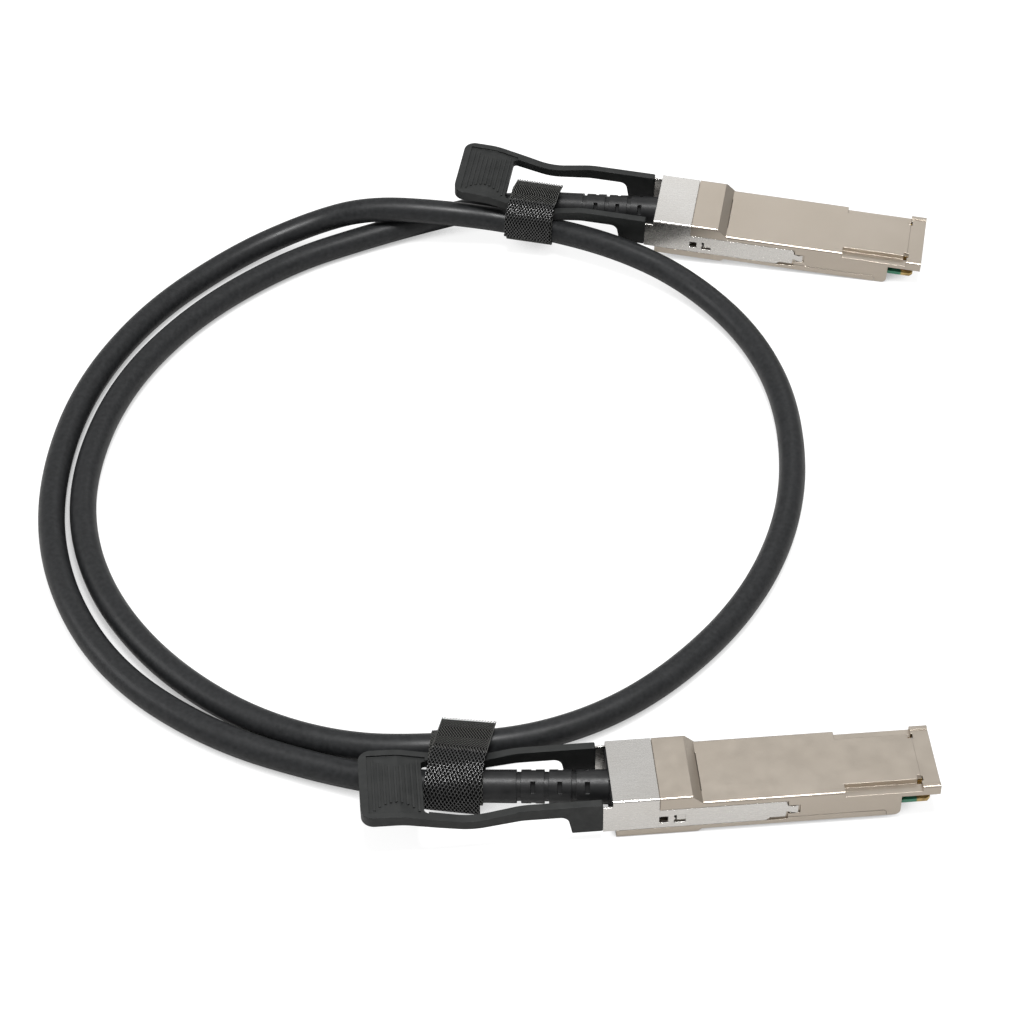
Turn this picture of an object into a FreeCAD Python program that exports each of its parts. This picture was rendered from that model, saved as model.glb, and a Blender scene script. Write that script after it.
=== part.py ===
import FreeCAD, Part
import Sketcher
import math
import os

# Direct attach copper cable: one jacketed twinax cable with a latching plug at each end.
# Millimetres. A plug is drawn with +X towards its nose and z = 0 under its rear block.

os.makedirs("parts", exist_ok=True)
doc = FreeCAD.newDocument("direct_attach_cable")

SIZES = {
    # plug shell
    "half_width": 9.175, "shell_back": 0.8, "block_end": 17.6, "slope_end": 19.9, "nose": 72.8,
    "block_top": 11.8, "body_top": 9.6, "seam": 2.93, "body_bottom": 1.1, "block_bottom_end": 18.7,
    "hood_under": 7.0, "skirt_front": 64.2, "skirt_back": 61.1, "hook_rise": 0.6, "edge_round": 0.5,
    "skirt_round": 1.4, "seam_line": 0.12, "seam_depth": 0.3,
    # inside of the shell
    "bay_back": 42.0, "bay_half": 8.35, "bay_top": 7.6, "duct_half": 7.4, "duct_back": 19.0,
    "throat_half": 5.6, "throat_top": 9.6, "hood_half": 7.7, "hood_roof": 8.5, "hood_wall": 0.8,
    # top of the nose
    "shelf_back": 51.5, "shelf_half": 6.6, "shelf_floor": 8.25, "strip_back": 68.8, "strip_half": 7.9,
    "strip_depth": 0.25, "hole_back": 67.9, "hole_front": 69.2, "hole_in": 5.5, "hole_out": 6.9,
    # latch slider, its track and its springs
    "sheet": 0.4, "slide_gap": 0.1, "cap_front": 10.26, "cap_gap": 0.15, "flare": 2.2, "flare_top": 10.2,
    "arm_top": 8.1, "arm_bottom": 2.35, "arm_end": 38.5, "tongue_end": 41.15, "slit": 0.5,
    "tongue_top": 6.6, "tongue_bottom": 4.15, "track_end": 38.97,
    "spring_back": 6.2, "spring_z": 5.0, "spring_y": 7.5, "spring_turn": 0.85, "spring_wire": 0.3,
    "spring_pitch": 1.5, "groove_in": 6.4, "groove_front": 16.6, "finger_x": 14.2, "finger_in": 6.6,
    "finger_width": 1.6,
    # pull tab
    "tab_half": 9.8, "arm_half": 9.3, "tab_arm": 2.3, "pad_back": 55.2, "pad_front": 41.3, "pad_top": 13.2,
    "pad_under": 10.3, "panel_back": 53.3, "panel_half": 8.3, "panel_depth": 0.5, "rib_pitch": 1.23,
    "rib_wide": 0.5, "rib_high": 0.35, "foot_back": 9.0, "foot_top": 11.3, "foot_bottom": 2.8,
    "dip_x": 31.0, "dip_top": 8.9, "rise_x": 20.0, "rise_top": 11.3, "pad_round": 3.0,
    "bend_round": 16.0,
    # strain relief
    "boot_z": 6.6, "root_half": 7.8, "root_low": 1.7, "root_high": 10.3, "root_front": 3.0,
    "boot_big": 3.9, "boot_small": 3.7, "boot_length": 28.5, "slot_wide": 1.05, "slot_long": 2.6,
    "slot_deep": 1.2, "ring_deep": 0.5,
    # inside parts
    "card_half": 8.2, "card_back": 44.5, "card_tip": 71.0, "card_low": 3.8, "card_thick": 1.0,
    "pad_long": 2.8, "contact_wide": 0.54, "contact_thick": 0.05, "contact_pitch": 0.8,
    "contact_back": 67.7, "rail_back": 46.0, "rail_front": 60.0, "rail_in": 6.5,
    "chip_x": 54.0, "chip_side": 3.0, "chip_high": 0.9, "pair_wide": 2.55, "pair_high": 1.2,
    "pair_pitch": 2.7, "pair_end": 47.5, "ferrule_back": 3.2, "ferrule_front": 7.2,
    "ferrule_half": 5.55, "ferrule_top": 7.9, "screw_x": 4.2, "screw_y": 7.0, "screw_shank": 0.75,
    "screw_head": 1.5, "screw_sink": 0.8, "screw_top": 7.0,
    # cable and ties
    "cable_radius": 3.3, "tie_wide": 12.6, "tie_thick": 0.8,
}

# Where the plugs and the cable lie in the coil: a fixed layout, like the way a cable is packed.
LAYOUT = FreeCAD.Vector(-26.221, -106.911, 0)
PLUG_AT = {"a": FreeCAD.Vector(0, 0, 0), "b": FreeCAD.Vector(34.799, 202.088, 3.3005)}
PLUG_TURN = {"a": (0, 0, 0), "b": (-14.85, 3.0, 6.82)}
BOOT_TURN = {"a": (-7.0, -1.5), "b": (1.6, -5.2)}
ROUTE = [
    (-62, 12.9, 3.6), (-88.3, 26.2, 3.3), (-111, 47.5, 3.3), (-124.5, 76, 3.3),
    (-128.8, 108.5, 3.3), (-122.3, 146, 3.3), (-105.6, 177.4, 3.3), (-81.6, 200.7, 3.3),
    (-60, 210.5, 5.8), (-44, 209.5, 10.6), (-24, 205.8, 10.6), (-2.4, 204.1, 6.6), (21.8, 190.7, 7.5),
    (40.4, 176.9, 4.9), (54.8, 153.5, 3.3), (60.0, 124, 3.3), (55.5, 88, 3.3), (40, 56, 3.3),
    (15, 31, 3.3), (-10, 18.5, 3.9), (-36, 15.3, 5.8), (-60, 19.6, 3.9), (-83.6, 32.6, 3.3),
    (-104.3, 54.6, 3.3), (-117.6, 82.2, 3.3), (-121, 113, 3.3), (-112.3, 148, 3.3),
    (-93.5, 176, 3.3), (-68, 196.5, 3.3), (-44, 206.5, 3.3), (-22, 212.3, 4.4),
]

sheet = doc.addObject("Spreadsheet::Sheet", "sizes")
for row, (alias, size) in enumerate(SIZES.items(), 1):
    sheet.set("A%d" % row, alias)
    sheet.set("B%d" % row, str(size))
    sheet.setAlias("B%d" % row, alias)
doc.recompute()

nodes = []
X, Y, Z = 0, 1, 2


def value(rule):
    """Number that a rule such as "nose - 2.5" gives with the present sizes."""
    total = 0.0
    sign = 1
    for word in str(rule).split():
        if word in "+-":
            sign = 1 if word == "+" else -1
        else:
            total += sign * (SIZES[word] if word in SIZES else float(word))
            sign = 1
    return total


def bound(rule):
    """The same rule as an expression on the spreadsheet."""
    return " ".join("sizes." + word if word in SIZES else word for word in str(rule).split())


def flip(rule):
    """The rule with its sign turned round, for the other side of the plug."""
    words = str(rule).split()
    swap = {"+": "-", "-": "+"}
    turned = [swap.get(word, word) for word in words]
    if turned[0] == "+" or turned[0] == "-":
        return " ".join(turned[1:]) if turned[0] == "+" else " ".join(turned)
    return "- " + " ".join(turned)


def keep(item, label, place):
    """Name a finished sub-part, put it in its place and list it for export."""
    item.Label = label
    item.Placement = place
    nodes.append(item)
    return item


def new_body(label):
    return doc.addObject("PartDesign::Body", "body_" + label)


def outline(body, plane, name, corners):
    """Closed sketch on one of the body's planes, every corner held by two sheet rules."""
    base = [item for item in body.Origin.OriginFeatures if item.Role == plane][0]
    sketch = body.newObject("Sketcher::SketchObject", name)
    sketch.AttachmentSupport = [(base, "")]
    sketch.MapMode = "FlatFace"
    spots = [FreeCAD.Vector(value(a), value(b), 0) for a, b in corners]
    count = len(spots)
    for i in range(count):
        sketch.addGeometry(Part.LineSegment(spots[i], spots[(i + 1) % count]))
    for i in range(count):
        sketch.addConstraint(Sketcher.Constraint("Coincident", i, 2, (i + 1) % count, 1))
    for i, rules in enumerate(corners):
        for kind, rule in zip(("DistanceX", "DistanceY"), rules):
            hold = Sketcher.Constraint(kind, -1, 1, i, 1, value(rule))
            number = sketch.addConstraint(hold)
            sketch.setExpression("Constraints[%d]" % number, bound(rule))
    return sketch


def pad(body, plane, name, corners, length):
    """Outline grown to both sides of its plane."""
    feature = body.newObject("PartDesign::Pad", name)
    feature.Profile = outline(body, plane, name + "_outline", corners)
    feature.SideType = "Symmetric"
    feature.setExpression("Length", bound(length))
    return feature


def pocket(body, plane, name, corners, length):
    """Outline cut to both sides of its plane."""
    feature = body.newObject("PartDesign::Pocket", name)
    feature.Profile = outline(body, plane, name + "_outline", corners)
    feature.SideType = "Symmetric"
    feature.setExpression("Length", bound(length))
    return feature


def block(body, kind, name, xs, ys, zs):
    """Box from one rule to the next along each axis, added to a body or cut from it."""
    box = body.newObject("PartDesign::%sBox" % kind, name)
    for side, axis, (low, high) in (("Length", "x", xs), ("Width", "y", ys), ("Height", "z", zs)):
        box.setExpression(side, "(%s) - (%s)" % (bound(high), bound(low)))
        box.setExpression("Placement.Base.%s" % axis, bound(low))
    return box


def cut(body, name, xs, ys, zs):
    return block(body, "Subtractive", name, xs, ys, zs)


def both_sides(body, kind, name, xs, ys, zs):
    """The same box on the left and on the right; ys run outwards from the middle."""
    block(body, kind, name + "_left", xs, ys, zs)
    return block(body, kind, name + "_right", xs, (flip(ys[1]), flip(ys[0])), zs)


def centre_cut(body, name, xs, half, zs):
    return cut(body, name, xs, (flip(half), half), zs)


def edges_along(feature, axis, spots, slack=0.06):
    """Names of the straight edges along an axis that pass through one of the spots."""
    doc.recompute()
    others = [i for i in (X, Y, Z) if i != axis]
    names = []
    for number, edge in enumerate(feature.Shape.Edges, 1):
        ends = [corner.Point for corner in edge.Vertexes]
        if len(ends) != 2 or abs(abs((ends[1] - ends[0])[axis]) - edge.Length) > 1e-4:
            continue
        here = [ends[0][i] for i in others]
        if any(math.dist(here, spot) < slack for spot in spots):
            names.append("Edge%d" % number)
    return names


def ease(body, kind, name, feature, axis, spots, size):
    """Fillet or chamfer on the edges that run along an axis through the spots."""
    names = edges_along(feature, axis, spots)
    if not names:
        raise RuntimeError("no edge for " + name)
    soft = body.newObject("PartDesign::" + kind, name)
    soft.Base = (feature, names)
    soft.setExpression("Radius" if kind == "Fillet" else "Size", bound(size))
    return soft


def mirrored(*spots):
    """Each (y, z) spot and its twin on the other side."""
    return [(side * y, z) for y, z in spots for side in (1, -1)]


def track(body, tag):
    """Recess in both flanks that the latch slider runs in."""
    low = "arm_bottom - slide_gap"
    floor = "half_width - sheet - slide_gap"
    ys = (floor, "half_width + 1")
    both_sides(body, "Subtractive", "cap_track" + tag, ("shell_back - 1", "cap_front + cap_gap"),
               ys, (low, "block_top + 1"))
    both_sides(body, "Subtractive", "arm_track" + tag, ("cap_front", "track_end"),
               ys, (low, "arm_top + slide_gap"))
    return both_sides(body, "Subtractive", "tongue_track" + tag,
                      ("arm_end", "tongue_end + slit"), ys,
                      ("tongue_bottom - slide_gap", "tongue_top + slide_gap"))


def screw_holes(body, tag, radius, low, high):
    """Round holes on both sides for the cover screws."""
    for side, rule in (("left", "screw_y"), ("right", "- screw_y")):
        hole = body.newObject("PartDesign::SubtractiveCylinder", "screw_hole_%s%s" % (side, tag))
        hole.setExpression("Radius", bound(radius))
        hole.setExpression("Height", "(%s) - (%s)" % (bound(high), bound(low)))
        hole.setExpression("Placement.Base.x", bound("screw_x"))
        hole.setExpression("Placement.Base.y", bound(rule))
        hole.setExpression("Placement.Base.z", bound(low))
    return hole


def upper_housing(tag, place):
    """Cast shell: rear block, sloped step, flat deck, hood over the card and side skirts."""
    body = new_body("upper_housing" + tag)
    lid = "block_top - sheet - slide_gap"
    corners = [
        ("shell_back", "seam"), ("shell_back", lid), ("cap_front + cap_gap", lid),
        ("cap_front + cap_gap", "block_top"), ("block_end", "block_top"),
        ("slope_end", "body_top"), ("nose", "body_top"), ("nose", "hood_under"),
        ("skirt_front", "hood_under"), ("skirt_front", "body_bottom"),
        ("skirt_back", "body_bottom"), ("skirt_back", "body_bottom + 1.2"),
        ("skirt_back - hook_rise", "seam"),
    ]
    shell = pad(body, "XZ_Plane", "shell" + tag, corners, "half_width + half_width")
    half = SIZES["half_width"]
    top = [(half, SIZES["block_top"]), (-half, SIZES["block_top"])]
    deck = [(half, SIZES["body_top"]), (-half, SIZES["body_top"])]
    soft = ease(body, "Fillet", "block_edges" + tag, shell, X, top, "edge_round")
    soft = ease(body, "Fillet", "deck_edges" + tag, soft, X, deck, "edge_round")
    lip = [(SIZES["skirt_front"], SIZES["body_bottom"])]
    ease(body, "Fillet", "skirt_corner" + tag, soft, Y, lip, "skirt_round")
    centre_cut(body, "bay" + tag, ("bay_back", "skirt_front + 1"), "bay_half", ("seam - 1", "bay_top"))
    centre_cut(body, "duct" + tag, ("duct_back", "bay_back + 1"), "duct_half", ("seam - 1", "bay_top"))
    centre_cut(body, "throat" + tag, ("shell_back - 1", "duct_back + 1"), "throat_half",
               ("seam - 1", "throat_top"))
    centre_cut(body, "root_seat" + tag, ("shell_back - 1", "root_front"), "root_half",
               ("seam - 1", "root_high"))
    centre_cut(body, "hood_pocket" + tag, ("skirt_front - 1", "nose - hood_wall"), "hood_half",
               ("hood_under - 1", "hood_roof - 0.3"))
    centre_cut(body, "front_floor" + tag, ("skirt_back - 2", "skirt_back"), "bay_half",
               ("body_bottom", "seam"))
    both_sides(body, "Subtractive", "shelf" + tag, ("shelf_back", "strip_back"),
               ("shelf_half", "half_width + 1"), ("shelf_floor", "body_top + 1"))
    centre_cut(body, "strip" + tag, ("strip_back", "nose + 1"), "strip_half",
               ("body_top - strip_depth", "body_top + 1"))
    both_sides(body, "Subtractive", "eye" + tag, ("hole_back", "hole_front"),
               ("hole_in", "hole_out"), ("hood_under - 1", "body_top + 1"))
    both_sides(body, "Subtractive", "spring_groove" + tag, ("spring_back", "groove_front"),
               ("groove_in", "half_width + 1"), ("spring_z - 1.05", "spring_z + 1.05"))
    screw_holes(body, "_housing" + tag, "screw_shank", "seam - 1", "screw_top")
    track(body, "_housing" + tag)
    return keep(body, "upper_housing" + tag, place)


def lower_cover(tag, place):
    """Floor plate with a stepped underside, card rails, screw seats and a fine seam line."""
    body = new_body("lower_cover" + tag)
    corners = [
        ("shell_back", "0"), ("block_bottom_end", "0"), ("slope_end", "body_bottom"),
        ("skirt_back - 0.1", "body_bottom"), ("skirt_back - 0.1", "body_bottom + 1.15"),
        ("skirt_back - hook_rise - 0.12", "seam"), ("shell_back", "seam"),
    ]
    shell = pad(body, "XZ_Plane", "floor" + tag, corners, "half_width + half_width")
    half = SIZES["half_width"]
    ease(body, "Fillet", "floor_edges" + tag, shell, X, mirrored((half, 0)), "edge_round")
    both_sides(body, "Additive", "rail" + tag, ("rail_back", "rail_front"),
               ("rail_in", "card_half"), ("seam - 0.2", "card_low"))
    centre_cut(body, "root_seat_floor" + tag, ("shell_back - 1", "root_front"), "root_half",
               ("root_low", "seam + 1"))
    both_sides(body, "Subtractive", "seam_groove" + tag, ("track_end", "skirt_back"),
               ("half_width - seam_depth", "half_width + 1"), ("seam - seam_line", "seam + 1"))
    screw_holes(body, "_cover" + tag, "screw_shank", "-1", "seam + 1")
    for side in (1, -1):
        sink = body.newObject("PartDesign::SubtractiveCone", "screw_sink%s%d" % (tag, side + 1))
        sink.setExpression("Radius1", bound("screw_head"))
        sink.setExpression("Radius2", bound("screw_shank"))
        sink.setExpression("Height", bound("screw_sink"))
        sink.setExpression("Placement.Base.x", bound("screw_x"))
        sink.setExpression("Placement.Base.y", bound("screw_y" if side == 1 else "- screw_y"))
    track(body, "_cover" + tag)
    return keep(body, "lower_cover" + tag, place)


def latch_slider(tag, place):
    """Folded sheet: cap over the rear block and two long arms that end in a waisted tongue."""
    body = new_body("latch_slider" + tag)
    corners = [
        ("- flare", "arm_bottom"), ("- flare", "flare_top"), ("0", "flare_top"), ("0", "block_top"),
        ("cap_front", "block_top"), ("cap_front", "arm_top"), ("arm_end - 0.1", "arm_top"),
        ("arm_end + 0.2", "tongue_top + 0.5"), ("arm_end + 0.35", "tongue_top + 0.02"),
        ("arm_end + 1.6", "tongue_top - 0.3"), ("tongue_end - 0.15", "tongue_top"),
        ("tongue_end", "tongue_top - 0.1"), ("tongue_end", "tongue_bottom"),
        ("arm_end + 1.3", "tongue_bottom + 0.25"), ("arm_end + 0.1", "tongue_bottom + 0.7"),
        ("arm_end - 0.1", "arm_bottom + 0.8"), ("arm_end - 3.5", "arm_bottom + 0.8"),
        ("arm_end - 4.3", "arm_bottom"),
    ]
    sheet_block = pad(body, "XZ_Plane", "folded" + tag, corners, "half_width + half_width")
    half = SIZES["half_width"]
    bends = mirrored((half, SIZES["block_top"]))
    ease(body, "Fillet", "bends" + tag, sheet_block, X, bends, "edge_round")
    centre_cut(body, "channel" + tag, ("- flare - 1", "tongue_end + 1"), "half_width - sheet",
               ("0", "block_top - sheet"))
    window = [("10.25", "4"), ("12.25", "4"), ("12.25", "6"), ("10.25", "6")]
    pocket(body, "XZ_Plane", "spring_window" + tag, window, "half_width + half_width + 2")
    port = [("13.55", "3.8"), ("16.15", "3.8"), ("16.15", "6.2"), ("13.55", "6.2"),
            ("13.55", "5.6"), ("13.9", "5.1"), ("13.55", "4.6")]
    pocket(body, "XZ_Plane", "finger_window" + tag, port, "half_width + half_width + 2")
    zs = ("spring_z - 0.8", "spring_z + 0.8")
    both_sides(body, "Additive", "finger_root" + tag, ("finger_x", "groove_front - 0.25"),
               ("half_width - sheet - sheet", "half_width - sheet"), zs)
    both_sides(body, "Additive", "finger" + tag, ("finger_x", "finger_x + sheet"),
               ("finger_in", "half_width - sheet"), zs)
    return keep(body, "latch_slider" + tag, place)


def pull_tab(tag, place):
    """Moulded loop: thick ribbed pad and two curved arms with feet on the slider."""
    body = new_body("pull_tab" + tag)
    corners = [
        ("- pad_back", "pad_top"), ("- pad_front - 5.2", "pad_top - 0.2"), ("- dip_x", "dip_top"),
        ("- rise_x", "rise_top"), ("- flare", "foot_top"), ("- flare", "foot_bottom"),
        ("- foot_back", "foot_bottom"), ("- foot_back - 1", "dip_top - 0.7"),
        ("- rise_x", "rise_top - 3.1"), ("- dip_x", "dip_top - 2.2"),
        ("- pad_front - 4.6", "pad_under - 0.1"), ("- pad_back", "pad_under"),
    ]
    rough = pad(body, "XZ_Plane", "loop" + tag, corners, "tab_half + tab_half")
    turns = [(value(a), value(b)) for a, b in (corners[1], corners[2], corners[3], corners[8],
                                               corners[9], corners[10])]
    soft = ease(body, "Fillet", "bends_tab" + tag, rough, Y, turns, "bend_round")
    knee = [(value(corners[7][0]), value(corners[7][1]))]
    soft = ease(body, "Fillet", "knee" + tag, soft, Y, knee, "pad_round - 1")
    toes = [(value(a), value(b)) for a, b in (corners[4], corners[5], corners[6])]
    soft = ease(body, "Fillet", "toes" + tag, soft, Y, toes, "edge_round - 0.1")
    half = SIZES["tab_half"]
    back = [(-SIZES["pad_back"], half), (-SIZES["pad_back"], -half)]
    soft = ease(body, "Fillet", "pad_corners" + tag, soft, Z, back, "pad_round")
    opening = centre_cut(body, "opening" + tag, ("- pad_front", "1"), "tab_half - tab_arm",
                         ("0", "pad_top + 1"))
    inner = [(-SIZES["pad_front"], side * value("tab_half - tab_arm")) for side in (1, -1)]
    ease(body, "Fillet", "opening_corners" + tag, opening, Z, inner, "pad_round - 2")
    waist = [("- pad_front + 3", "tab_half"), ("- rise_x", "arm_half"), ("1", "arm_half"),
             ("1", "tab_half + 1"), ("- pad_front + 3", "tab_half + 1")]
    pocket(body, "XY_Plane", "waist_left" + tag, waist, "40")
    pocket(body, "XY_Plane", "waist_right" + tag, [(x, flip(y)) for x, y in waist], "40")
    skin = [("- panel_back", 0.0), ("- pad_front - 5.2", -0.2), ("- pad_front + 1", -1.84)]
    floor = [(spot, "pad_top - panel_depth - %.2f" % -drop) for spot, drop in skin]
    lid = [("- pad_front + 1", "pad_top + 1"), ("- panel_back", "pad_top + 1")]
    pocket(body, "XZ_Plane", "panel" + tag, floor + lid, "panel_half + panel_half")
    for number in range(9):
        middle = -SIZES["panel_back"] + 1.2 + number * SIZES["rib_pitch"]
        drop = 0.2 + 0.2645 * (middle - value(skin[1][0])) if number > 4 else 0.1
        arc = abs(number - 4) / 4.0
        half_long = 5.25 + 2.15 * arc * arc
        xs = ("%.3f - rib_wide" % (middle + 0.25), "%.3f" % (middle + 0.25))
        seat = "pad_top - panel_depth - %.3f" % drop
        block(body, "Additive", "rib%d%s" % (number, tag), xs, (-half_long, half_long),
              (seat + " - 0.3", seat + " + rib_high"))
    return keep(body, "pull_tab" + tag, place)


def strain_relief(tag, place):
    """Moulded boot with ring slots and staggered windows on a block that fills the shell's rear."""
    body = new_body("strain_relief" + tag)
    taper = (SIZES["boot_small"] - SIZES["boot_big"]) / SIZES["boot_length"]
    corners = [("shell_back - 0.2", "0"), ("shell_back - 0.2", "boot_big")]
    for centre in (-7.6, -13.7, -19.9):
        skin = "boot_big - %.4f" % abs(taper * centre)
        corners += [
            ("%.3f" % (centre + SIZES["slot_wide"] / 2), skin),
            ("%.3f" % (centre + SIZES["slot_wide"] / 2), skin + " - ring_deep"),
            ("%.3f" % (centre - SIZES["slot_wide"] / 2), skin + " - ring_deep"),
            ("%.3f" % (centre - SIZES["slot_wide"] / 2), skin),
        ]
    corners += [("- boot_length + 0.4", "boot_small"), ("- boot_length", "boot_small - 0.4"),
                ("- boot_length", "0")]
    boot = body.newObject("PartDesign::Revolution", "boot" + tag)
    sketch = outline(body, "XZ_Plane", "boot_outline" + tag, corners)
    boot.Profile = sketch
    boot.ReferenceAxis = (sketch, ["H_Axis"])
    boot.Angle = 360
    for centre in (-4.6, -10.7, -16.7):
        for quarter in range(4):
            slot = body.newObject("PartDesign::SubtractiveBox", "slot%d%d%s" % (-centre, quarter, tag))
            slot.setExpression("Length", bound("slot_wide"))
            slot.setExpression("Width", bound("slot_long"))
            slot.setExpression("Height", bound("slot_deep + 1"))
            turn = FreeCAD.Rotation(FreeCAD.Vector(1, 0, 0), 45 + 90 * quarter)
            corner = FreeCAD.Vector(-SIZES["slot_wide"] / 2, -SIZES["slot_long"] / 2,
                                    value("boot_small + 0.1 - slot_deep"))
            slot.Placement = FreeCAD.Placement(FreeCAD.Vector(centre, 0, 0) + turn.multVec(corner), turn)
    yaw, tilt = BOOT_TURN[tag[1:]]
    lean = FreeCAD.Placement(FreeCAD.Vector(0, 0, SIZES["boot_z"]), FreeCAD.Rotation(yaw, tilt, 0))
    root = body.newObject("PartDesign::AdditiveBox", "root" + tag)
    root.setExpression("Length", bound("root_front + 0.2"))
    root.setExpression("Width", bound("root_half + root_half"))
    root.setExpression("Height", bound("root_high - root_low"))
    corner = FreeCAD.Placement(
        FreeCAD.Vector(-0.2, -SIZES["root_half"], SIZES["root_low"]), FreeCAD.Rotation())
    root.Placement = lean.inverse().multiply(corner)
    return keep(body, "strain_relief" + tag, place.multiply(lean))


def paddle_card(tag, place):
    """Circuit board with a bevelled front edge that enters the port."""
    body = new_body("paddle_card" + tag)
    corners = [
        ("card_back", "- card_half"), ("card_tip - 0.8", "- card_half"),
        ("card_tip", "- card_half + 0.8"), ("card_tip", "card_half - 0.8"),
        ("card_tip - 0.8", "card_half"), ("card_back", "card_half"),
    ]
    board = pad(body, "XY_Plane", "board" + tag, corners, "card_thick")
    board.Profile[0].setExpression("AttachmentOffset.Base.z", bound("card_low") + " + sizes.card_thick / 2")
    tip = [(SIZES["card_tip"], SIZES["card_low"]), (SIZES["card_tip"], value("card_low + card_thick"))]
    ease(body, "Chamfer", "bevel" + tag, board, Y, tip, "0.25")
    return keep(body, "paddle_card" + tag, place)


def solid_box(name, xs, ys, zs):
    """Stand-alone box from one rule to the next along each axis."""
    box = doc.addObject("Part::Box", name)
    for side, axis, (low, high) in (("Length", "x", xs), ("Width", "y", ys), ("Height", "z", zs)):
        box.setExpression(side, "(%s) - (%s)" % (bound(high), bound(low)))
        box.setExpression("Placement.Base.%s" % axis, bound(low))
    return box


def gather(label, items, place):
    """Several separate solids of one kind as a single sub-part."""
    group = doc.addObject("Part::Compound", label)
    group.Links = items
    return keep(group, label, place)


def edge_contacts(tag, place):
    """Gold pads in a row of nineteen on each face of the card."""
    pads = []
    for number in range(19):
        middle = (number - 9) * SIZES["contact_pitch"]
        ys = ("%.3f - contact_wide" % (middle + 0.27), "%.3f" % (middle + 0.27))
        xs = ("contact_back", "contact_back + pad_long")
        top = ("card_low + card_thick", "card_low + card_thick + contact_thick")
        under = ("card_low - contact_thick", "card_low")
        pads.append(solid_box("contact_top%d%s" % (number, tag), xs, ys, top))
        pads.append(solid_box("contact_under%d%s" % (number, tag), xs, ys, under))
    return gather("edge_contacts" + tag, pads, place)


def eeprom_chip(tag, place):
    """Small memory package on the card."""
    body = new_body("eeprom_chip" + tag)
    block(body, "Additive", "package" + tag, ("chip_x", "chip_x + chip_side"), (-1.5, "chip_side - 1.5"),
          ("card_low + card_thick", "card_low + card_thick + chip_high"))
    return keep(body, "eeprom_chip" + tag, place)


def twinax_pairs(tag, place):
    """Four foil-wrapped conductor pairs from the jacket to the card."""
    pairs = []
    for number in range(4):
        middle = (number - 1.5) * SIZES["pair_pitch"]
        low = "card_low + card_thick"
        radius = SIZES["pair_high"] / 2
        reach = SIZES["pair_wide"] / 2 - radius
        ys = ("%.4f" % (middle - reach), "%.4f" % (middle + reach))
        core = solid_box("pair_core%d%s" % (number, tag), ("root_front", "pair_end"), ys,
                         (low, low + " + pair_high"))
        sides = []
        for side in (-1, 1):
            rod = doc.addObject("Part::Cylinder", "pair_side%d_%d%s" % (number, side + 1, tag))
            rod.setExpression("Radius", "sizes.pair_high / 2")
            rod.setExpression("Height", bound("pair_end - root_front"))
            rod.Placement = FreeCAD.Placement(
                FreeCAD.Vector(SIZES["root_front"], middle + side * reach, value(low) + radius),
                FreeCAD.Rotation(FreeCAD.Vector(0, 1, 0), 90))
            sides.append(rod)
        pair = doc.addObject("Part::MultiFuse", "pair%d%s" % (number, tag))
        pair.Shapes = [core] + sides
        pairs.append(pair)
    return gather("twinax_pairs" + tag, pairs, place)


def crimp_ferrule(tag, place):
    """Clamp band round the pairs, seated on the floor plate behind the root."""
    body = new_body("crimp_ferrule" + tag)
    band = block(body, "Additive", "band" + tag, ("ferrule_back", "ferrule_front"),
                 ("- ferrule_half", "ferrule_half"), ("seam", "ferrule_top"))
    rims = mirrored((SIZES["ferrule_half"], SIZES["ferrule_top"]))
    ease(body, "Fillet", "band_edges" + tag, band, X, rims, "edge_round + 0.7")
    centre_cut(body, "band_slot" + tag, ("ferrule_back - 1", "ferrule_front + 1"),
               "pair_pitch + pair_pitch", ("card_low + card_thick", "card_low + card_thick + pair_high"))
    return keep(body, "crimp_ferrule" + tag, place)


def cover_screws(tag, place):
    """Two countersunk screws that hold the floor plate to the shell."""
    screws = []
    for side, rule in (("left", "screw_y"), ("right", "- screw_y")):
        shank = doc.addObject("Part::Cylinder", "shank_%s%s" % (side, tag))
        shank.setExpression("Radius", bound("screw_shank"))
        shank.setExpression("Height", bound("screw_top"))
        head = doc.addObject("Part::Cone", "head_%s%s" % (side, tag))
        head.setExpression("Radius1", bound("screw_head"))
        head.setExpression("Radius2", bound("screw_shank"))
        head.setExpression("Height", bound("screw_sink"))
        for item in (shank, head):
            item.setExpression("Placement.Base.x", bound("screw_x"))
            item.setExpression("Placement.Base.y", bound(rule))
        screw = doc.addObject("Part::Fuse", "screw_%s%s" % (side, tag))
        screw.Base = head
        screw.Tool = shank
        screws.append(screw)
    return gather("cover_screws" + tag, screws, place)


def return_springs(tag, place):
    """Coil springs between the shell's groove and the slider's bent fingers."""
    for side, sign in (("left", 1), ("right", -1)):
        coil = doc.addObject("Part::Helix", "coil_%s%s" % (side, tag))
        coil.setExpression("Pitch", bound("spring_pitch"))
        coil.setExpression("Height", bound("finger_x - spring_back - spring_wire - 0.14"))
        coil.setExpression("Radius", bound("spring_turn"))
        wire = doc.addObject("Part::RegularPolygon", "wire_%s%s" % (side, tag))
        wire.Polygon = 4
        wire.setExpression("Circumradius", "sizes.spring_wire / 1.6")
        wire.Placement = FreeCAD.Placement(
            FreeCAD.Vector(SIZES["spring_turn"], 0, 0), FreeCAD.Rotation(FreeCAD.Vector(1, 0, 0), 90))
        spring = doc.addObject("Part::Sweep", "spring_%s%s" % (side, tag))
        spring.Sections = [wire]
        spring.Spine = (coil, ["Edge1"])
        spring.Solid = True
        spring.Frenet = True
        seat = FreeCAD.Placement(
            FreeCAD.Vector(value("spring_back + 0.2"), sign * SIZES["spring_y"],
                           SIZES["spring_z"]), FreeCAD.Rotation(FreeCAD.Vector(0, 1, 0), 90))
        keep(spring, "return_spring_%s%s" % (side, tag), place.multiply(seat))


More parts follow.
